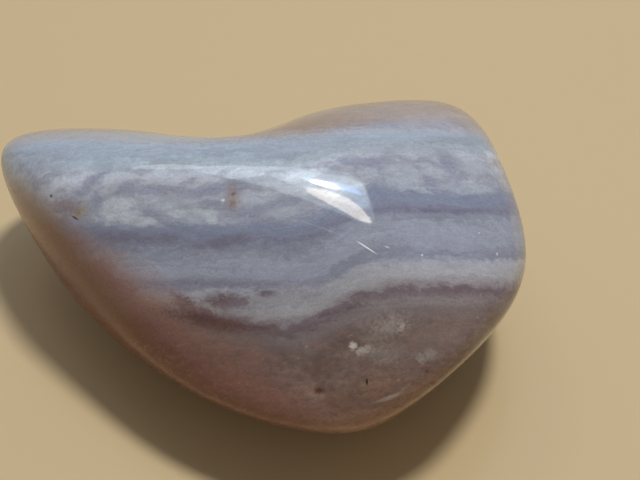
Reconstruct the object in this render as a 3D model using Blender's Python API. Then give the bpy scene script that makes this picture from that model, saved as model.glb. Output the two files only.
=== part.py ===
"""A tumbled pebble of banded blue chalcedony, in metres, +Z up, resting on its worn flat.

The stone is one solid. It starts as a rough chunk with named facets, each given by the way it faces and by
how far it stands from the middle of the stone. Tumbling has worn every edge and corner round, which the
softened meeting of the facets stands for, and has left a hollow in the back and a small flat underneath.
"""
import math

import bmesh
import bpy
import numpy as np

MM = 0.001

# Where the middle of the chunk stands above the surface that the stone rests on.
MIDDLE = np.array([1.0, 0.0, 7.5])

# Half the chunk's length, depth and height in mm, which spread the mesh's points evenly over it.
CHUNK_HALVES = np.array([18.0, 14.0, 8.0])

# Each facet: the way it faces (degrees round from +X, degrees up from level) and its distance in mm.
UPPER_FACETS = {
    "main face": (-106, 57, 8.2),
    "crown": (-80, 83, 8.8),
    "right crown": (-27, 71, 10.5),
    "upper back": (92, 66, 9.0),
    "nose top": (151, 70, 11.3),
    "back slope": (96, 45, 10.5),
}
SIDE_FACETS = {
    "back": (90, 3, 14.8),
    "right shoulder": (19, 18, 18.0),
    "right end": (2, -1, 19.0),
    "right front": (-30, -14, 17.1),
    "lower right": (-48, -25, 14.8),
    "front": (-88, 7, 15.7),
    "left flank": (-139, 2, 12.2),
    "flank shoulder": (-120, 36, 11.0),
}
NOSE_FACETS = {
    "nose side": (-152, 0, 17.8),
    "nose end": (172, 13, 24.2),
    "nose back": (101, 29, 19.8),
    "nose underside": (-178, -50, 13.3),
}
BELLY_FACETS = {
    "front keel": (-97, -43, 12.9),
    "left keel": (-126, -45, 11.3),
    "right heel": (6, -45, 15.0),
    "back heel": (85, -49, 13.8),
    "belly": (0, -90, 8.4),
}

# How crisp the edges inside each group of facets stay, and those between the groups: a higher number is
# an edge that tumbling has worn less.
FACET_GROUPS = ((15.0, UPPER_FACETS), (13.0, SIDE_FACETS), (7.6, NOSE_FACETS), (3.3, BELLY_FACETS))
CRISPNESS = 9.0

# The hollow between the nose and the hump of the back: which way it lies, its width and its depth
# as a share of the stone there.
HOLLOW_FACING = (110, 19)
HOLLOW_WIDTH = 29.0
HOLLOW_DEPTH = 0.26

# Faces along each side of the box that the stone's mesh is rounded from, how often the polish evens its
# points out, and how far it moves each one towards its neighbours.
MESH_STEPS = 28
POLISH_ROUNDS = 4
POLISH_SHARE = 0.5

# Faces of the flat that lean less than this from each other become one.
LEVEL_WITHIN = math.radians(0.1)

COLOUR = (0.33, 0.34, 0.42, 1.0)
ROUGHNESS = 0.12


def clear_scene():
    for obj in list(bpy.data.objects):
        bpy.data.objects.remove(obj, do_unlink=True)


def facing(round_deg, up_deg):
    """The unit vector that points round_deg from +X and up_deg from level."""
    turn, rise = math.radians(round_deg), math.radians(up_deg)
    return np.array([math.cos(rise) * math.cos(turn), math.cos(rise) * math.sin(turn), math.sin(rise)])


def nearness(ways, crispness, facets):
    """How soon a line from the middle meets the facets, per mm, with their edges worn to this crispness."""
    worn = np.zeros(len(ways))
    for round_deg, up_deg, distance in facets.values():
        toward = np.maximum(ways @ facing(round_deg, up_deg), 0.0)
        worn += (toward / distance) ** crispness
    return worn ** (1.0 / crispness)


def reach(ways):
    """How far the stone's surface lies from its middle, in mm, along each unit vector."""
    worn = sum(nearness(ways, crispness, facets) ** CRISPNESS for crispness, facets in FACET_GROUPS)
    hollow_span = 2.0 * math.sin(math.radians(HOLLOW_WIDTH) / 2.0)
    off_hollow = np.linalg.norm(ways - facing(*HOLLOW_FACING), axis=1)
    hollow = HOLLOW_DEPTH * np.exp(-((off_hollow / hollow_span) ** 2))
    return worn ** (-1.0 / CRISPNESS) * (1.0 - hollow)


def round_box(steps):
    """A cube with steps faces along each side, its points spread evenly for rounding."""
    box = bmesh.new()
    bmesh.ops.create_cube(box, size=2.0)
    bmesh.ops.subdivide_edges(box, edges=box.edges[:], cuts=steps - 1, use_grid_fill=True)
    for vert in box.verts:
        vert.co = [math.tan(side * math.pi / 4.0) for side in vert.co]
    return box


def shape_stone(mesh):
    """Gives every point of the mesh its place on the worn surface, evened out by the polish."""
    ways = np.array([vert.co.normalized() for vert in mesh.verts]) * CHUNK_HALVES
    ways /= np.linalg.norm(ways, axis=1, keepdims=True)
    points = MIDDLE + ways * reach(ways)[:, None]
    for vert, point in zip(mesh.verts, points):
        vert.co = point * MM
    for _ in range(POLISH_ROUNDS):
        bmesh.ops.smooth_vert(
            mesh, verts=mesh.verts[:], factor=POLISH_SHARE, use_axis_x=True, use_axis_y=True, use_axis_z=True
        )


def split_faces(mesh):
    """Splits every four-sided face along the diagonal that stands proud, so that the worn edges run true."""
    for face in list(mesh.faces):
        a, b, c, d = face.verts
        fold = (b.co - a.co).cross(c.co - a.co).dot(d.co - a.co)
        start, end = (b, d) if fold > 0.0 else (a, c)
        bmesh.utils.face_split(face, start, end)


def wear_flat(mesh):
    """Wears the belly down to z = 0, centres the stone over the origin and makes one face of the flat."""
    for vert in mesh.verts:
        vert.co.z = max(vert.co.z, 0.0)
    points = np.array([vert.co for vert in mesh.verts])
    middle = (points.min(axis=0) + points.max(axis=0)) / 2.0
    for vert in mesh.verts:
        vert.co.x -= middle[0]
        vert.co.y -= middle[1]
    flat = [face for face in mesh.faces if all(vert.co.z == 0.0 for vert in face.verts)]
    edges = {edge for face in flat for edge in face.edges}
    verts = {vert for face in flat for vert in face.verts}
    bmesh.ops.dissolve_limit(mesh, angle_limit=LEVEL_WITHIN, verts=list(verts), edges=list(edges))


def polished_chalcedony():
    material = bpy.data.materials.new("polished chalcedony")
    material.use_nodes = True
    shader = material.node_tree.nodes["Principled BSDF"]
    shader.inputs["Base Color"].default_value = COLOUR
    shader.inputs["Roughness"].default_value = ROUGHNESS
    shader.inputs["Metallic"].default_value = 0.0
    return material


def make_stone():
    solid = round_box(MESH_STEPS)
    shape_stone(solid)
    split_faces(solid)
    wear_flat(solid)
    bmesh.ops.recalc_face_normals(solid, faces=solid.faces[:])
    mesh = bpy.data.meshes.new("chalcedony_pebble")
    solid.to_mesh(mesh)
    solid.free()
    mesh.shade_smooth()
    mesh.materials.append(polished_chalcedony())
    stone = bpy.data.objects.new("chalcedony_pebble", mesh)
    bpy.context.scene.collection.objects.link(stone)
    return stone


clear_scene()
make_stone()
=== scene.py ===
# Tumbled pebble of banded blue chalcedony: its finish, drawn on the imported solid's form.
# Lengths are in millimetres here and become metres where a mesh, lamp or camera is made.
import functools
import math

import bmesh
import bpy
import numpy as np
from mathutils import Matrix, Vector, noise
from mathutils.bvhtree import BVHTree


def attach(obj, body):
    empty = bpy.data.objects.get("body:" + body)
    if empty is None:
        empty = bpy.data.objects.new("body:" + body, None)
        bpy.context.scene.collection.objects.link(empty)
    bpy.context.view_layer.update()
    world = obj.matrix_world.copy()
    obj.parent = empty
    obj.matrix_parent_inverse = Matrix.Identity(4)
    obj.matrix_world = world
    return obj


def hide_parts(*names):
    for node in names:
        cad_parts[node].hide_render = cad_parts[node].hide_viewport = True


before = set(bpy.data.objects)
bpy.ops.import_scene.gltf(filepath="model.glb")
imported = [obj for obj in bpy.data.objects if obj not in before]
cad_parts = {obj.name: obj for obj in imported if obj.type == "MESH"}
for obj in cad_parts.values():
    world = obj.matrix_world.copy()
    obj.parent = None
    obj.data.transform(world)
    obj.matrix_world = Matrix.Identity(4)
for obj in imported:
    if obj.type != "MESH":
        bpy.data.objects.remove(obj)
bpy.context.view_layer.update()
mm = 0.001

# The photograph's view of the stone.
view = {
    "aim": (4.5, 1.5, 7.4),
    "elevation": 50,
    "distance": 110,
    "frameWidth": 45.4,  # what the frame takes in at the aim
    "sensor": 36,
    "pixels": (640, 480),
    "sees": (5, 10000),  # the nearest and the farthest that shows
}

# The same worn chunk as the solid. Each facet has its facing (degrees round from +X, degrees up) and its
# distance from the middle, and each group of them how crisp the edges inside it stay.
stone = {
    "middle": (1.0, 0.0, 7.5),
    "halves": (18, 14, 8),  # they spread the mesh's faces evenly over the long stone
    "facetGroups": (
        (15, {
            "main face": (-106, 57, 8.2),
            "crown": (-80, 83, 8.8),
            "right crown": (-27, 71, 10.5),
            "upper back": (92, 66, 9.0),
            "nose top": (151, 70, 11.3),
            "back slope": (96, 45, 10.5),
        }),
        (13, {
            "back": (90, 3, 14.8),
            "right shoulder": (19, 18, 18.0),
            "right end": (2, -1, 19.0),
            "right front": (-30, -14, 17.1),
            "lower right": (-48, -25, 14.8),
            "front": (-88, 7, 15.7),
            "left flank": (-139, 2, 12.2),
            "flank shoulder": (-120, 36, 11.0),
        }),
        (7.6, {
            "nose side": (-152, 0, 17.8),
            "nose end": (172, 13, 24.2),
            "nose back": (101, 29, 19.8),
            "nose underside": (-178, -50, 13.3),
        }),
        (3.3, {
            "front keel": (-97, -43, 12.9),
            "left keel": (-126, -45, 11.3),
            "right heel": (6, -45, 15.0),
            "back heel": (85, -49, 13.8),
            "belly": (0, -90, 8.4),
        }),
    ),
    "crispness": 9.0,  # of the edges between the groups
    "hollow": {"facing": (110, 19), "width": 29, "depth": 0.26},  # degrees wide, and this share of the way in
    "steps": 116,  # faces along each side of the box that the mesh is rounded from
    # The tumbler leaves the faces very slightly uneven. That fades out towards the flat, below this height.
    "undulation": {"wave": 6.0, "height": 0.03, "fadesBelow": 2},
    # Small damage that has depth: the pixel of the photograph that shows it, its width and its depth.
    "pits": {
        "brown vug": ((76, 217), 0.8, 0.1),
        "rusty pit": ((319, 392), 0.9, 0.22),
        "dark slit": ((367, 382), 0.5, 0.16),
        "rust crack": ((232, 194), 0.7, 0.1),
        "dark speck": ((51, 196), 0.45, 0.06),
    },
    "pitWall": {"ends": 1.6, "steepness": 1.5},  # half widths out where a pit ends, and how fast it dips
}


# sRGB hex to linear red, green, blue and alpha.
def linear(hexColour):
    parts = [int(hexColour[at:at + 2], 16) / 255 for at in (1, 3, 5)]
    return [part / 12.92 if part <= 0.04045 else ((part + 0.055) / 1.055) ** 2.4 for part in parts] + [1.0]


# The unit vector that points roundDeg from +X and upDeg from level.
def facing(roundDeg, upDeg):
    turn, rise = math.radians(roundDeg), math.radians(upDeg)
    return np.array([math.cos(rise) * math.cos(turn), math.cos(rise) * math.sin(turn), math.sin(rise)])


# How soon a line from the middle meets the facets, per mm, with their edges worn to this crispness.
def nearness(ways, crispness, facets):
    worn = np.zeros(len(ways))
    for roundDeg, upDeg, distance in facets.values():
        worn += (np.maximum(ways @ facing(roundDeg, upDeg), 0.0) / distance) ** crispness
    return worn ** (1.0 / crispness)


# How far the surface lies from the stone's middle along each unit vector.
def reach(ways):
    crisp = stone["crispness"]
    worn = sum(nearness(ways, inner, facets) ** crisp for inner, facets in stone["facetGroups"])
    hollow = stone["hollow"]
    span = 2 * math.sin(math.radians(hollow["width"]) / 2)
    offHollow = np.linalg.norm(ways - facing(*hollow["facing"]), axis=1)
    return worn ** (-1 / crisp) * (1 - hollow["depth"] * np.exp(-((offHollow / span) ** 2)))


# The camera's place and its right, up and back directions.
def cameraWays():
    rise = math.radians(view["elevation"])
    back = np.array([0, -math.cos(rise), math.sin(rise)])
    up = np.array([0, math.sin(rise), math.cos(rise)])
    return np.array(view["aim"]) + view["distance"] * back, np.array([1.0, 0, 0]), up, back


# The worn surface's points in mm, with the belly worn flat, centred over the origin.
def stonePoints(box):
    ways = np.array([vert.co.normalized() for vert in box.verts]) * stone["halves"]
    ways /= np.linalg.norm(ways, axis=1, keepdims=True)
    points = np.array(stone["middle"]) + ways * reach(ways)[:, None]
    points[:, 2] = np.maximum(points[:, 2], 0)
    points[:, :2] -= (points[:, :2].min(axis=0) + points[:, :2].max(axis=0)) / 2
    return points


# The point of the stone, in mm, that a pixel of the photograph shows, and the way the surface faces there.
def hitStone(tree, pixel):
    eye, right, up, back = cameraWays()
    perPixel = view["frameWidth"] / view["distance"] / view["pixels"][0]
    across, down = pixel[0] - view["pixels"][0] / 2, pixel[1] - view["pixels"][1] / 2
    way = right * across * perPixel - up * down * perPixel - back
    point, normal, _, _ = tree.ray_cast(Vector(eye), Vector(way / np.linalg.norm(way)))
    return np.array(point), np.array(normal)


def makeStone():
    box = bmesh.new()
    bmesh.ops.create_cube(box, size=2)
    bmesh.ops.subdivide_edges(box, edges=box.edges[:], cuts=stone["steps"] - 1, use_grid_fill=True)
    for vert in box.verts:
        vert.co = [math.tan(side * math.pi / 4) for side in vert.co]
    points = stonePoints(box)
    for vert, point in zip(box.verts, points):
        vert.co = point
    box.normal_update()
    box.verts.ensure_lookup_table()
    tree = BVHTree.FromBMesh(box)
    uneven, wall = stone["undulation"], stone["pitWall"]
    for vert, point in zip(box.verts, points):
        if point[2] > 0:
            share = min(point[2] / uneven["fadesBelow"], 1)
            vert.co += vert.normal * uneven["height"] * share * noise.noise(vert.co / uneven["wave"])
    for pixel, across, depth in stone["pits"].values():
        middle, normal = hitStone(tree, pixel)
        away = np.linalg.norm(points - middle, axis=1) / (across / 2)
        for index in np.nonzero(away < wall["ends"])[0]:
            dip = math.exp(-away[index] ** 2 * wall["steepness"])
            box.verts[index].co -= Vector(normal) * depth * dip
    for vert in box.verts:
        vert.co *= mm
    mesh = bpy.data.meshes.new("polished pebble")
    box.to_mesh(mesh)
    box.free()
    mesh.shade_smooth()
    piece = bpy.data.objects.new("polished_pebble", mesh)
    bpy.context.scene.collection.objects.link(piece)
    print("pebble shaped:", len(mesh.polygons), "faces")
    return piece, tree


# Adds a node: settings are its properties, and inputs fill its sockets with values or with nodes' outputs.
def addNode(tree, kind, settings=None, inputs=None):
    node = tree.nodes.new("ShaderNode" + kind)
    for name, value in (settings or {}).items():
        setattr(node, name, value)
    for name, value in (inputs or {}).items():
        if isinstance(value, bpy.types.NodeSocket):
            tree.links.new(value, node.inputs[name])
        else:
            node.inputs[name].default_value = value
    return node


# Settings that many of the nodes share.
plus, times = {"operation": "ADD"}, {"operation": "MULTIPLY"}
dot = {"operation": "DOT_PRODUCT"}
smooth = {"interpolation_type": "SMOOTHSTEP"}
ofColours = {"data_type": "RGBA"}

# Chalcedony, tumbled to a wet-looking polish. Its microscopic quartz fibres make it waxy and a little
# see-through, so light sinks in and softens the bands, and pinholes keep the gloss from being perfect.
# A tint has its pattern, its colour, the pattern's values where it starts and is full, and its strength.
chalcedony = {
    "polish": 0.05,
    "ior": 1.54,
    "waxiness": 0.4,
    "glowDepth": (1.0, 0.7, 0.58),  # mm that red, green and blue light wander
    # Layers from the ridge down the main face: mm below the aim, as the camera sees it, and their colour.
    "layers": (
        # The stops from -8.0 to -5.8 are bluer than the stone itself: a painted sheen of a cool reflection.
        # The brown of the lowest stops is partly painted warm light bounced up from the floor. The last stop
        # is lightened to paint light shining through the stone's foot.
        (-10.4, "#88868c"), (-9.8, "#8c929f"), (-9.2, "#8d97a5"), (-8.6, "#9ea6b3"), (-8.0, "#9ea9ba"),
        (-7.3, "#b5bcc8"), (-6.7, "#adb9c8"), (-5.8, "#a7b3c1"), (-5.1, "#bac8d4"), (-4.3, "#d4dbe9"),
        (-3.7, "#c5c9d3"), (-1.8, "#b4b9c5"), (-1.3, "#a5aabb"), (-0.8, "#939bb2"), (-0.2, "#9299ae"),
        (0.1, "#8d8ea3"), (0.4, "#9499aa"), (1.1, "#a3a8b7"), (1.8, "#aaafbf"), (2.5, "#a6abbb"),
        (2.9, "#989bab"), (3.3, "#9fa3b3"), (3.6, "#b5b7c1"), (4.5, "#b6b5ba"), (5.05, "#a49fa3"),
        (5.5, "#81737a"), (5.8, "#7a6a6e"), (6.15, "#857a7c"), (6.6, "#877c7b"), (7.5, "#7b6964"),
        (10.0, "#785d50"), (12.8, "#a78470"),
    ),
    # The layers climb by this height between these x. Those above the first depth climb only a part of it.
    "climb": {"height": 2.2, "from": 2.0, "to": 9.0, "above": -7.6, "part": 0.1, "below": -5.0},
    "warps": {"sag": 0.45, "ragged": 0.8, "mottle": 0.5},  # mm that the patterns below move the layers
    # Between these depths the pale layer ends in round lobes: their height in mm, and how many times that
    # height the layers move at a lobe's tip and in a gap.
    "shore": {"lobes": 0.14, "from": 3.6, "to": 6.8, "tip": -0.8, "gap": 1.2},
    # Hair-fine layers: mm that each draws along and across. Real ones are a few hundredths of a mm thick,
    # too fine to show, and are drawn coarser.
    "threads": {"size": (5, 2 / 9), "detail": 3.0},
    # Depths where the zone of the lace starts, is full, still is and has ended, and its cloudy mottling.
    "laceZone": (-5.2, -4.4, -1.9, -0.9),
    "laceTints": (("clouds", "#a5a8b8", 0.5, 0.4, 0.6), ("clouds", "#cad3df", 0.52, 0.62, 0.6)),
    # Depths where the brown base starts and is full, and its warm blotches and milky flecks.
    "base": (6.2, 7.4),
    "baseTints": (("blotches", "#86604f", 0.5, 0.7, 0.4), ("blotches", "#9a8a84", 0.5, 0.34, 0.4),
                  ("flecks", "#b7a8a0", 0.14, 0.02, 0.4)),
    "fleckClusters": 0.45,  # how strongly the flecks gather where the clouds are thick
    # Fine mottling at the base's depth, which goes on over the rinds.
    "mottleTints": (("mottle", "#a18079", 0.5, 0.66, 0.35), ("mottle", "#6c5650", 0.5, 0.36, 0.25)),
    # The clouds also move the edges of the painted floor reflections that lie among the rinds.
    "rindAndReflectionWander": 1.0,  # mm that the clouds move the rinds' edges
    "markDepth": 2.5,  # mm that a patch or mark goes into the stone
    # How much each pattern lightens and darkens, and between which of its values.
    "shades": {"threads": 0.15, "mottle": 0.09, "clouds": 0.09, "grain": 0.14},
    "shadeSpan": (0.25, 0.75),
    "pinholes": {"rim": 0.16, "heart": 0.06, "roughness": 0.25},  # tiny holes that the polish did not close
}

# Natural irregularities: the kind of pattern, the size in mm of what it draws along the stone, across it
# and up it, and its inputs. The real fibres and crystals are microns thick, far too fine to show, so the
# grain and the crumbs are drawn as coarse as they need to be to show.
patterns = {
    "sag": ("TexNoise", (6.4, 2.9, 2.9), {"Detail": 2.0}),
    "ragged": ("TexNoise", (1.4, 0.7, 0.7), {"Detail": 8.0, "Roughness": 0.68}),
    "lobes": ("TexVoronoi", (0.8, 0.6, 0.6), {}),
    "clouds": ("TexNoise", (2.4, 1.2, 1.2), {"Detail": 8.0, "Roughness": 0.62}),
    "wisps": ("TexNoise", (0.9, 0.6, 0.6), {"Detail": 8.0, "Roughness": 0.7}),
    "curds": ("TexVoronoi", (0.5, 0.42, 0.42), {}),
    "blotches": ("TexNoise", (2.6, 2.2, 2.2), {"Detail": 5.0, "Roughness": 0.6}),
    "grain": ("TexNoise", (0.16, 0.11, 0.11), {"Detail": 3.0, "Roughness": 0.7}),
    "mottle": ("TexNoise", (0.6, 0.38, 0.38), {"Detail": 5.0, "Roughness": 0.65}),
    "crumbs": ("TexNoise", (0.22, 0.2, 0.2), {"Detail": 4.0, "Roughness": 0.7}),
    "flecks": ("TexVoronoi", (0.62, 0.62, 0.62), {}),
    "pinholes": ("TexVoronoi", (0.42, 0.42, 0.42), {}),
}

# The lace above the dark layers and the lobes below them: groups of patches with wandering edges, in the
# order that they lie over each other. Each patch has the pixel that shows its middle, its half width and
# height in mm and its turn in degrees.
lace = {
    "mauve gaps": {"colour": "#a1a6ba", "rim": "#acb0c0", "strength": 0.95, "patches": (
        ((127, 190), (0.75, 0.5), 0), ((152, 190), (1.4, 0.33), 0), ((90, 184), (1.2, 0.4), 40),
        ((99, 176), (0.5, 0.14), 30), ((151, 214), (0.9, 0.45), -20), ((99, 207), (0.35, 1.0), 20),
        ((212, 190), (1.8, 0.4), 10), ((212, 203), (0.9, 0.2), 0), ((236, 185), (0.7, 0.45), 0),
        ((366, 162), (1.9, 0.35), 0), ((381, 171), (0.25, 0.6), 0), ((420, 160), (0.6, 0.15), 20),
        ((433, 164), (0.9, 0.2), -20), ((449, 163), (0.75, 0.5), -20), ((455, 173), (0.8, 0.35), -20),
        ((460, 178), (0.28, 0.22), 0), ((430, 183), (0.75, 0.3), -40), ((250, 212), (1.6, 0.3), 0),
        ((275, 205), (1.8, 0.3), 10))},
    "grey clouds": {"colour": "#bcc5d1", "rim": "#a1a3b2", "strength": 0.75, "patches": (
        ((159, 204), (1.4, 0.5), 0), ((189, 201), (0.5, 0.22), 0), ((195, 216), (2.0, 0.5), 0),
        ((133, 220), (1.5, 0.35), -10), ((367, 173), (0.7, 0.36), 0), ((402, 176), (1.3, 0.8), 0),
        ((432, 171), (0.9, 0.4), -20), ((418, 189), (0.9, 0.2), -10), ((470, 190), (1.6, 0.3), 0),
        ((262, 197), (1.3, 0.4), 10), ((283, 212), (1.4, 0.3), 10), ((470, 167), (1.0, 0.5), 0))},
    "bright clouds": {"colour": "#ccd5de", "rim": "#a8aab8", "strength": 0.85, "patches": (
        ((119, 206), (1.05, 0.55), 10), ((112, 212), (0.9, 0.65), 10), ((128, 216), (0.9, 0.45), 0),
        ((144, 221), (0.8, 0.28), -10), ((213, 219), (0.35, 0.3), 0),
        ((205, 213), (0.7, 0.3), 0), ((178, 214), (0.6, 0.25), 0))},
    "mauve lobes": {"colour": "#79686f", "rim": "#8c8389", "strength": 1.0, "patches": (
        ((186, 304), (1.0, 0.4), -30), ((228, 302), (1.3, 0.6), 0), ((266, 294), (0.6, 0.22), 0),
        ((205, 312), (0.7, 0.3), -30), ((327, 313), (0.8, 0.2), 20))},
    "violet shade": {"colour": "#837d8f", "rim": "#8c8a9c", "strength": 0.6, "patches": (
        ((121, 236), (1.5, 0.35), 0), ((158, 238), (1.3, 0.3), 0), ((228, 241), (1.6, 0.3), 10))},
    "pale shore": {"colour": "#b8bac0", "rim": "#a5a4aa", "strength": 0.45, "patches": (
        ((290, 303), (1.7, 0.5), 0), ((345, 284), (1.6, 0.4), 10), ((240, 311), (0.8, 0.25), 0),
        ((300, 290), (1.2, 0.3), 0))},
}

# How the patches' edges wander and soften, and the rim that goes a little past them.
laceEdges = {
    "wander": {"wisps": 2.2, "curds": 0.5, "crumbs": 1.1},  # half widths that each pattern moves an edge
    "softness": 0.42,
    "rim": 0.5,  # half widths that the rim reaches past the patch
    "rimStrength": 0.3,
    # The mottling thins a patch down to this share of it, between these of its values.
    "thinned": {"share": 0.75, "from": 0.35, "to": 0.6},
}

# Brown rind of the rock that the stone grew in, on the flank, where its warm brown is partly painted bounce
# light from the floor and its deep outer part a painted dark reflection of the shaded floor; on the back it
# is all a painted reflection of the warm floor, seen at a grazing angle. Each has the way it faces, and how
# far along that way, in mm, it begins and is full. It is duller than the polish, and the hair-fine layers
# streak its edge. Its colour turns to the deep one between two values of what deepBy names: the mm outward,
# or the threads' pattern.
rindsAndPaintedReflections = {
    # The flank: partly the rock's rind and partly painted warm bounce light, deepening outward into a painted
    # dark reflection of the shaded floor.
    "flank": {"facing": (-130, -25), "from": 1.6, "to": 4.5, "strength": 0.94, "dulled": 0.2, "streaks": 0.3,
              "colour": "#a8877c", "deep": "#835545", "deepBy": "outward", "deepFrom": 3.0, "deepTo": 5.9},
    # The back: a painted reflection of the warm floor on the back slope, streaked by the hair-fine layers.
    "back": {"facing": (90, 30), "from": 11.4, "to": 13.4, "strength": 0.75, "dulled": 0.03, "streaks": 1.6,
             "colour": "#b49c88", "deep": "#a39ca0", "deepBy": "threads", "deepFrom": 0.38, "deepTo": 0.62},
}

# Shades of colour, painted shade, painted light, painted reflections and glints, inclusions and small marks,
# in the
# order that they lie over each other: the pixel that shows each, its half width and height in mm, its turn in
# degrees, its colour, how soft its edge is and how far that strays, both in half widths, and its strength.
marks = {
    "dim nose": ((34, 170), (2.2, 1.0), 0, "#9798a3", 0.95, 0.8, 0.6),
    "milky veil": ((430, 344), (3.8, 1.6), 20, "#917e77", 0.95, 1.0, 0.75),
    "dim shelf": ((408, 149), (5.8, 0.5), 0, "#adb4c0", 0.95, 1.2, 0.8),
    # The next two are a painted reflection of the warm floor on the back slope.
    "back's painted brown reflection": ((304, 126), (4.4, 1.0), 10, "#9c8270", 0.95, 1.6, 0.65),
    "back's painted pale reflection": ((424, 114), (5.0, 1.5), 0, "#b1abaf", 0.95, 1.0, 0.6),
    # A painted dark reflection of the shaded floor along the flank's outer edge.
    "painted dark reflection on the flank": ((66, 262), (5.2, 0.6), -50, "#6a3325", 0.95, 0, 0.6),
    "brown haze": ((230, 354), (5.4, 2.2), -30, "#725548", 0.95, 0, 0.5),
    # Painted light on the foot, standing in for light that comes through the stone and up from the floor.
    "painted light on the foot": ((250, 397), (4.2, 1.0), -20, "#97695a", 0.95, 1.0, 0.5),
    "dark line's brown end": ((208, 320), (2.6, 0.45), -10, "#613f3a", 0.9, 1.0, 0.85),
    "dim shore": ((272, 300), (3.2, 0.7), 10, "#8d898f", 0.9, 1.4, 0.4),
    "pale strip": ((442, 300), (5.0, 0.34), 0, "#a39a9b", 0.95, 1.2, 0.5),
    "pale strip's start": ((376, 311), (1.7, 0.4), 20, "#9b9192", 0.95, 1.0, 0.6),
    "milky haze": ((389, 326), (1.0, 0.5), 20, "#b0a59e", 0.95, 1.8, 0.75),
    "milky streak": ((402, 327), (0.3, 0.14), 50, "#bcb1a9", 0.7, 1.6, 0.8),
    "white inclusion": ((353, 346), (0.25, 0.22), 0, "#d2cdc2", 0.5, 1.2, 1),
    "white trail": ((364, 350), (0.6, 0.26), 10, "#b9b1a7", 0.5, 1.9, 0.85),
    "trail haze": ((381, 354), (1.1, 0.5), 0, "#a0958e", 0.8, 1.6, 0.6),
    "pale chip": ((431, 354), (0.4, 0.36), 10, "#a9a298", 0.6, 0.9, 0.6),
    "pale chip's foot": ((421, 359), (0.25, 0.3), 0, "#a59d94", 0.5, 1.3, 0.7),
    "pale rim": ((388, 398), (0.8, 0.13), 20, "#cbbfb4", 0.5, 1.1, 0.9),
    "pale rim's end": ((404, 389), (0.5, 0.1), 40, "#a8978c", 0.6, 1.0, 0.7),
    "rusty halo": ((317, 394), (0.6, 0.5), 0, "#a08376", 0.7, 1.4, 0.6),
    "rusty pit": ((319, 391), (0.28, 0.2), 10, "#70432f", 0.5, 0.9, 1),
    "dark slit": ((367, 382), (0.07, 0.2), 0, "#2c2420", 0.5, 0, 1),
    "rust crack": ((233, 196), (0.4, 0.85), 0, "#a89890", 0.9, 1.2, 0.7),
    "rust crack's foot": ((233, 203), (0.17, 0.26), 0, "#a08579", 0.8, 1.2, 0.6),
    "rust bead": ((233, 194), (0.18, 0.1), 30, "#84705f", 0.6, 1.2, 0.7),
    "white bead": ((223, 200), (0.12, 0.11), 0, "#e0e4e6", 0.5, 0, 1),
    "red stain": ((68, 206), (1.0, 0.4), 0, "#937478", 0.9, 1.2, 0.6),
    "yellow stain": ((80, 212), (0.5, 0.34), 20, "#b3a493", 0.7, 1.4, 0.8),
    "brown vug": ((75, 218), (0.26, 0.07), -30, "#6c5443", 0.6, 0, 1),
    "dark speck": ((51, 196), (0.1, 0.1), 0, "#77727a", 0.5, 0, 1),
    "red speck": ((427, 371), (0.14, 0.12), 0, "#6e4840", 0.5, 0, 0.7),
    "red smear": ((434, 383), (0.25, 0.12), 0, "#6e4e44", 0.5, 1.0, 0.6),
    "bruise": ((362, 402), (2.6, 0.8), 0, "#6c5144", 0.95, 1.0, 0.5),
    # A real scratch, whose white is a painted glint.
    "glinting scratch": ((366, 247), (0.72, 0.045), -33, "#ffffff", 0.4, 0, 1),
    "scratch's tail": ((330, 231), (3.0, 0.035), -20, "#a9aebb", 0.9, 0, 1),
    "mauve thread": ((200, 283), (3.6, 0.22), 0, "#7d7a8b", 0.9, 1.6, 0.45),
    "hair line": ((446, 211), (6.0, 0.15), 0, "#7f7e92", 0.9, 1.3, 0.6),
    # Painted glints, tiny white dots.
    "painted glint above": ((387, 247), (0.16, 0.05), -20, "#d4d8dc", 0.5, 0, 1),
    "painted glint on the bands": ((422, 255), (0.06, 0.06), 0, "#dfe2e6", 0.5, 0, 1),
    "painted glint at the right": ((479, 233), (0.07, 0.07), 0, "#dfe2e6", 0.5, 0, 1),
    "painted glint at the end": ((497, 254), (0.06, 0.1), 0, "#d6d9de", 0.5, 0, 1),
}


# The picture's right, up and towards the eye, turned by some degrees in its plane.
def pictureAxes(turn):
    _, right, up, back = cameraWays()
    cosine, sine = math.cos(math.radians(turn)), math.sin(math.radians(turn))
    return right * cosine + up * sine, up * cosine - right * sine, back


# Where a point lies along those axes, once for each turn that a patch or a mark has. They share these, and
# keep to a few turns, because Cycles draws a shader that holds too many values at once as plain black.
def pictureFrames(add, place):
    turns = {turn for group in lace.values() for _, _, turn in group["patches"]}
    turns |= {turn for _, _, turn, *_ in marks.values()}
    frames = {}
    for turn in sorted(turns):
        sides = [add("VectorMath", dot, {0: place, 1: tuple(axis)}).outputs["Value"]
                 for axis in pictureAxes(turn)]
        frames[turn] = add("CombineXYZ", {}, dict(zip("XYZ", sides))).outputs[0]
    return frames


# The distance from a patch's middle, 1 at its edge, around the point where a pixel shows the stone.
def patchDistance(add, frames, surface, pixel, half, turn):
    middle, _ = hitStone(surface, pixel)
    spans = (*half, chalcedony["markDepth"])
    start = [-(middle @ axis) / span for axis, span in zip(pictureAxes(turn), spans)]
    within = add("VectorMath", {"operation": "MULTIPLY_ADD"}, {
        0: frames[turn], 1: tuple(1 / span for span in spans), 2: tuple(start)})
    return add("VectorMath", {"operation": "LENGTH"}, {0: within.outputs[0]}).outputs["Value"]


# The patterns' values at a place that is given in mm.
def patternFields(add, place):
    fields = {}
    for name, (kind, size, inputs) in patterns.items():
        sized = add("Mapping", {}, {"Vector": place, "Scale": [1 / side for side in size]}).outputs[0]
        fields[name] = add(kind, {}, {"Vector": sized, "Scale": 1.0, **inputs}).outputs[0]
    return fields


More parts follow.
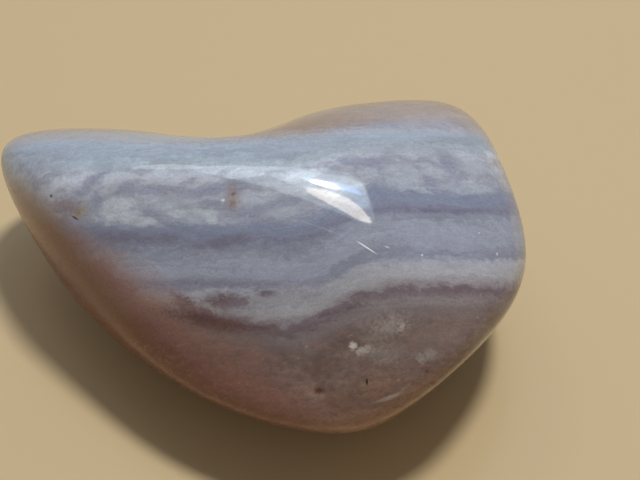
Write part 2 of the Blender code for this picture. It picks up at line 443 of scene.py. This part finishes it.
# How far a point lies down the picture from the aim, in mm, with the layers' climb and irregular course.
def layerDepth(add, place, fields):
    _, _, up, _ = cameraWays()
    fromAim = add("VectorMath", {"operation": "SUBTRACT"}, {0: place, 1: view["aim"]}).outputs[0]
    depth = add("VectorMath", dot, {0: fromAim, 1: tuple(-up)}).outputs["Value"]
    along = add("SeparateXYZ", {}, {0: place}).outputs["X"]
    climb, shore = chalcedony["climb"], chalcedony["shore"]
    rise = add("MapRange", {"interpolation_type": "SMOOTHERSTEP"}, {
        "Value": along, "From Min": climb["from"], "From Max": climb["to"],
        "To Max": climb["height"]}).outputs[0]
    part = add("MapRange", {}, {
        "Value": depth, "From Min": climb["above"], "From Max": climb["below"],
        "To Min": climb["part"], "To Max": 1.0}).outputs[0]
    rise = add("Math", times, {0: rise, 1: part}).outputs[0]
    depth = add("Math", plus, {0: depth, 1: rise}).outputs[0]
    for name, height in chalcedony["warps"].items():
        shift = add("MapRange", {}, {"Value": fields[name], "To Min": -height, "To Max": height}).outputs[0]
        depth = add("Math", plus, {0: depth, 1: shift}).outputs[0]
    middle = (shore["from"] + shore["to"]) / 2
    offShore = add("Math", {"operation": "SUBTRACT"}, {0: depth, 1: middle}).outputs[0]
    offShore = add("Math", {"operation": "ABSOLUTE"}, {0: offShore}).outputs[0]
    near = add("MapRange", smooth, {
        "Value": offShore, "From Min": shore["to"] - middle, "From Max": 0.0,
        "To Max": shore["lobes"]}).outputs[0]
    lobe = add("MapRange", {}, {
        "Value": fields["lobes"], "To Min": shore["tip"], "To Max": shore["gap"]}).outputs[0]
    return add("Math", {"operation": "MULTIPLY_ADD"}, {0: lobe, 1: near, 2: depth}).outputs[0], along


# The layers' colour, and the pattern of hair-fine layers that runs along them.
def layerColour(add, depth, along):
    layers, threads = chalcedony["layers"], chalcedony["threads"]
    top, bottom = layers[0][0], layers[-1][0]
    share = add("MapRange", {}, {"Value": depth, "From Min": top, "From Max": bottom})
    ramp = add("ValToRGB", {}, {0: share.outputs[0]})
    stops = ramp.color_ramp.elements
    for at, (level, colour) in enumerate(layers):
        position = (level - top) / (bottom - top)
        stop = stops[at] if at < 2 else stops.new(position)
        stop.position = position
        stop.color = linear(colour)
    place = add("CombineXYZ", {}, {"X": along, "Y": depth}).outputs[0]
    scale = (*(1 / side for side in threads["size"]), 1)
    sized = add("Mapping", {}, {"Vector": place, "Scale": scale}).outputs[0]
    thread = add("TexNoise", {}, {"Vector": sized, "Scale": 1.0, "Detail": threads["detail"]}).outputs[0]
    return ramp.outputs[0], thread


# Lays tints over the colour, each where its pattern says and as far as the zone reaches.
def layTints(add, colour, tints, zone, fields):
    for name, tint, start, full, strength in tints:
        share = add("MapRange", smooth, {
            "Value": fields[name], "From Min": start, "From Max": full, "To Max": strength}).outputs[0]
        share = add("Math", times, {0: share, 1: zone}).outputs[0]
        colour = add("Mix", ofColours, {0: share, 6: colour, 7: linear(tint)}).outputs[2]
    return colour


# Lays each group of lace patches over the bands: their rim first, then the patches themselves.
def layLace(add, colour, frames, surface, fields):
    soft, thinned = laceEdges["softness"], laceEdges["thinned"]
    for group in lace.values():
        nearest = None
        for pixel, half, turn in group["patches"]:
            edge = patchDistance(add, frames, surface, pixel, half, turn)
            if nearest is not None:
                edge = add("Math", {"operation": "MINIMUM"}, {0: nearest, 1: edge}).outputs[0]
            nearest = edge
        for name, sway in laceEdges["wander"].items():
            shift = add("MapRange", {}, {
                "Value": fields[name], "To Min": -sway / 2, "To Max": sway / 2}).outputs[0]
            nearest = add("Math", plus, {0: nearest, 1: shift}).outputs[0]
        inner = add("MapRange", {}, {
            "Value": fields["mottle"], "From Min": thinned["from"], "From Max": thinned["to"],
            "To Min": thinned["share"], "To Max": 1.0}).outputs[0]
        for tint, out, strength in (("rim", 1 + laceEdges["rim"], laceEdges["rimStrength"]),
                                    ("colour", 1, group["strength"])):
            share = add("MapRange", smooth, {
                "Value": nearest, "From Min": out + soft, "From Max": out - soft,
                "To Max": strength}).outputs[0]
            share = add("Math", times, {0: share, 1: inner}).outputs[0]
            colour = add("Mix", ofColours, {0: share, 6: colour, 7: linear(group[tint])}).outputs[2]
    return colour


# Lays the rinds and the painted floor reflections over the layers. The second result is how much roughness
# they add to the polish.
def layRindsAndPaintedReflections(add, colour, place, fields):
    stray = chalcedony["rindAndReflectionWander"]
    wander = add("MapRange", {}, {"Value": fields["clouds"], "To Min": -stray, "To Max": stray}).outputs[0]
    dulled = 0
    for rindAndReflection in rindsAndPaintedReflections.values():
        way, streaks = tuple(facing(*rindAndReflection["facing"])), rindAndReflection["streaks"]
        outward = add("VectorMath", dot, {0: place, 1: way}).outputs["Value"]
        outward = add("Math", plus, {0: outward, 1: wander}).outputs[0]
        shift = add("MapRange", {}, {
            "Value": fields["threads"], "To Min": -streaks, "To Max": streaks}).outputs[0]
        outward = add("Math", plus, {0: outward, 1: shift}).outputs[0]
        share = add("MapRange", smooth, {
            "Value": outward, "From Min": rindAndReflection["from"], "From Max": rindAndReflection["to"],
            "To Max": rindAndReflection["strength"]}).outputs[0]
        dulled = add("Math", {"operation": "MULTIPLY_ADD"}, {
            0: share, 1: rindAndReflection["dulled"], 2: dulled}).outputs[0]
        deepBy = outward if rindAndReflection["deepBy"] == "outward" else fields[rindAndReflection["deepBy"]]
        deep = add("MapRange", {}, {
            "Value": deepBy, "From Min": rindAndReflection["deepFrom"], "From Max": rindAndReflection["deepTo"]}).outputs[0]
        tint = add("Mix", ofColours, {
            0: deep, 6: linear(rindAndReflection["colour"]), 7: linear(rindAndReflection["deep"])}).outputs[2]
        colour = add("Mix", ofColours, {0: share, 6: colour, 7: tint}).outputs[2]
    return colour, dulled


def layMarks(add, colour, frames, surface, fields):
    for pixel, half, turn, tint, soft, stray, strength in marks.values():
        edge = patchDistance(add, frames, surface, pixel, half, turn)
        shift = add("MapRange", {}, {
            "Value": fields["crumbs"], "To Min": -stray, "To Max": stray}).outputs[0]
        edge = add("Math", plus, {0: edge, 1: shift}).outputs[0]
        share = add("MapRange", smooth, {
            "Value": edge, "From Min": 1 + soft, "From Max": 1 - soft, "To Max": strength}).outputs[0]
        colour = add("Mix", ofColours, {0: share, 6: colour, 7: linear(tint)}).outputs[2]
    return colour


def bandedMaterial(surface):
    material = bpy.data.materials.new("chalcedony, banded, tumbled and polished")
    material.use_nodes = True
    material.node_tree.nodes.clear()
    add = functools.partial(addNode, material.node_tree)
    local = add("TexCoord").outputs["Object"]
    place = add("VectorMath", {"operation": "SCALE"}, {0: local, "Scale": 1 / mm}).outputs[0]
    fields = patternFields(add, place)
    depth, along = layerDepth(add, place, fields)
    colour, fields["threads"] = layerColour(add, depth, along)

    # The zone of the lace between its upper and lower edges, its mottling and then its patches.
    starts, full, still, ends = chalcedony["laceZone"]
    upper = add("MapRange", smooth, {"Value": depth, "From Min": starts, "From Max": full}).outputs[0]
    lower = add("MapRange", smooth, {"Value": depth, "From Min": ends, "From Max": still}).outputs[0]
    zone = add("Math", times, {0: upper, 1: lower}).outputs[0]
    colour = layTints(add, colour, chalcedony["laceTints"], zone, fields)
    frames = pictureFrames(add, place)
    colour = layLace(add, colour, frames, surface, fields)

    # The brown base under the last mauve layer, the rinds and painted floor reflections, and the mottling and
    # the marks over all of them; painted shade, light, reflections and glints are among the marks.
    starts, full = chalcedony["base"]
    base = add("MapRange", smooth, {"Value": depth, "From Min": starts, "From Max": full}).outputs[0]
    gather = chalcedony["fleckClusters"]
    cluster = add("MapRange", {}, {
        "Value": fields["clouds"], "To Min": gather, "To Max": -gather}).outputs[0]
    fields["flecks"] = add("Math", plus, {0: fields["flecks"], 1: cluster}).outputs[0]
    colour = layTints(add, colour, chalcedony["baseTints"], base, fields)
    colour, dulled = layRindsAndPaintedReflections(add, colour, place, fields)
    colour = layTints(add, colour, chalcedony["mottleTints"], base, fields)
    colour = layMarks(add, colour, frames, surface, fields)

    # Hair-fine layers, cloudy fibres and the grain lighten and darken everything a little.
    low, high = chalcedony["shadeSpan"]
    for name, strength in chalcedony["shades"].items():
        light = add("MapRange", {}, {
            "Value": fields[name], "From Min": low, "From Max": high,
            "To Min": 1 - strength, "To Max": 1 + strength}).outputs[0]
        colour = add("VectorMath", {"operation": "SCALE"}, {0: colour, "Scale": light}).outputs[0]

    # The pinholes are rougher than the polish, and so are the rinds.
    holes = chalcedony["pinholes"]
    rough = add("MapRange", smooth, {
        "Value": fields["pinholes"], "From Min": holes["rim"], "From Max": holes["heart"],
        "To Min": chalcedony["polish"], "To Max": holes["roughness"]}).outputs[0]
    rough = add("Math", plus, {0: rough, 1: dulled}).outputs[0]
    shader = add("BsdfPrincipled", {}, {
        "Base Color": colour,
        "Roughness": rough,
        "IOR": chalcedony["ior"],
        "Subsurface Weight": chalcedony["waxiness"],
        "Subsurface Radius": chalcedony["glowDepth"],
        "Subsurface Scale": mm,
    })
    add("OutputMaterial", {}, {"Surface": shader.outputs[0]})
    print("chalcedony mixed:", len(material.node_tree.nodes), "nodes")
    return material


# Pale laminate under the stone, with a satin finish that only hints at a reflection.
floor = {"across": 900, "colour": "#d8c094", "roughness": 0.55}


def makeFloor():
    material = bpy.data.materials.new("pale satin laminate")
    material.use_nodes = True
    shader = material.node_tree.nodes["Principled BSDF"]
    shader.inputs["Base Color"].default_value = linear(floor["colour"])
    shader.inputs["Roughness"].default_value = floor["roughness"]
    bpy.ops.mesh.primitive_plane_add(size=floor["across"] * mm)
    plane = bpy.context.object
    plane.name = "floor"
    plane.data.materials.append(material)
    print("floor laid")


# Lamps, as seen from the stone: azimuth (0 straight behind, + to the right) and elevation in degrees, half
# width and half height in degrees, how bright the lamp itself looks, its colour and its distance. One that
# only shines is seen in the polish alone, and one that only shades lights the stone and the floor.
lamps = {
    "key lamp": {"azimuth": 50, "elevation": 75, "spread": (4.5, 4.5), "glow": 95, "colour": "#fbfbfd",
                 "distance": 600, "works": "shades"},
    "softbox": {"azimuth": 0, "elevation": 68, "spread": (13.2, 13.6), "glow": 2.75, "colour": "#d6eef8",
                "distance": 520, "works": "shines"},
    "bright core": {"azimuth": 10, "elevation": 65.8, "spread": (2.4, 1.5), "glow": 90, "colour": "#fffdf8",
                    "distance": 470, "works": "shines"},
    "blue fringe": {"azimuth": 14, "elevation": 64.6, "spread": (5.6, 1.6), "glow": 8, "colour": "#86b4ff",
                    "distance": 490, "works": "shines"},
    "bright middle": {"azimuth": 11, "elevation": 66, "spread": (8.5, 7.5), "glow": 3.0, "colour": "#dcf0f8",
                      "distance": 510, "works": "shines"},
    "warm panel": {"azimuth": 18, "elevation": 73.8, "spread": (5.6, 4.8), "glow": 8.5, "colour": "#fbecd8",
                   "distance": 500, "works": "shines"},
    "cool panel": {"azimuth": -18, "elevation": 16, "spread": (46, 22), "glow": 0.49, "colour": "#cfdfff",
                   "distance": 700, "works": "both"},
    "side panel": {"azimuth": -34, "elevation": 58, "spread": (7, 5), "glow": 2.4, "colour": "#f2f0ee",
                   "distance": 650, "works": "both"},
}
ambient = {"colour": "#f2eee8", "strength": 0.22}


def makeLights():
    target = Vector(view["aim"])
    for name, lamp in lamps.items():
        turn, rise = math.radians(lamp["azimuth"]), math.radians(lamp["elevation"])
        way = Vector((math.sin(turn) * math.cos(rise), math.cos(turn) * math.cos(rise), math.sin(rise)))
        far = lamp["distance"] * mm
        data = bpy.data.lights.new(name, "AREA")
        data.shape = "ELLIPSE"
        data.size, data.size_y = [2 * far * math.tan(math.radians(half)) for half in lamp["spread"]]
        area = math.pi / 4 * data.size * data.size_y
        data.energy = lamp["glow"] * math.pi * area  # the watts that make the lamp look so bright
        data.color = linear(lamp["colour"])[:3]
        light = bpy.data.objects.new(name, data)
        light.visible_diffuse = lamp["works"] != "shines"
        light.visible_glossy = lamp["works"] != "shades"
        light.location = target * mm + way * far
        light.rotation_mode = "QUATERNION"
        light.rotation_quaternion = way.to_track_quat("Z", "Y")
        bpy.context.scene.collection.objects.link(light)
    world = bpy.data.worlds.new("studio")
    world.use_nodes = True
    background = world.node_tree.nodes["Background"]
    background.inputs["Color"].default_value = linear(ambient["colour"])
    background.inputs["Strength"].default_value = ambient["strength"]
    bpy.context.scene.world = world
    print("lamps placed:", len(lamps))


def makeCamera():
    eye, _, _, back = cameraWays()
    data = bpy.data.cameras.new("camera")
    data.sensor_width = view["sensor"]
    data.lens = view["sensor"] * view["distance"] / view["frameWidth"]
    data.clip_start, data.clip_end = [far * mm for far in view["sees"]]
    camera = bpy.data.objects.new("camera", data)
    camera.location = Vector(eye) * mm
    camera.rotation_mode = "QUATERNION"
    camera.rotation_quaternion = Vector(back).to_track_quat("Z", "Y")
    bpy.context.scene.collection.objects.link(camera)
    bpy.context.scene.camera = camera
    bpy.context.scene.view_settings.view_transform = "Standard"
    print("camera placed")


pebble, surface = makeStone()
pebble.data.materials.append(bandedMaterial(surface))
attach(pebble, "root")
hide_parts("chalcedony_pebble")
makeFloor()
makeLights()
makeCamera()
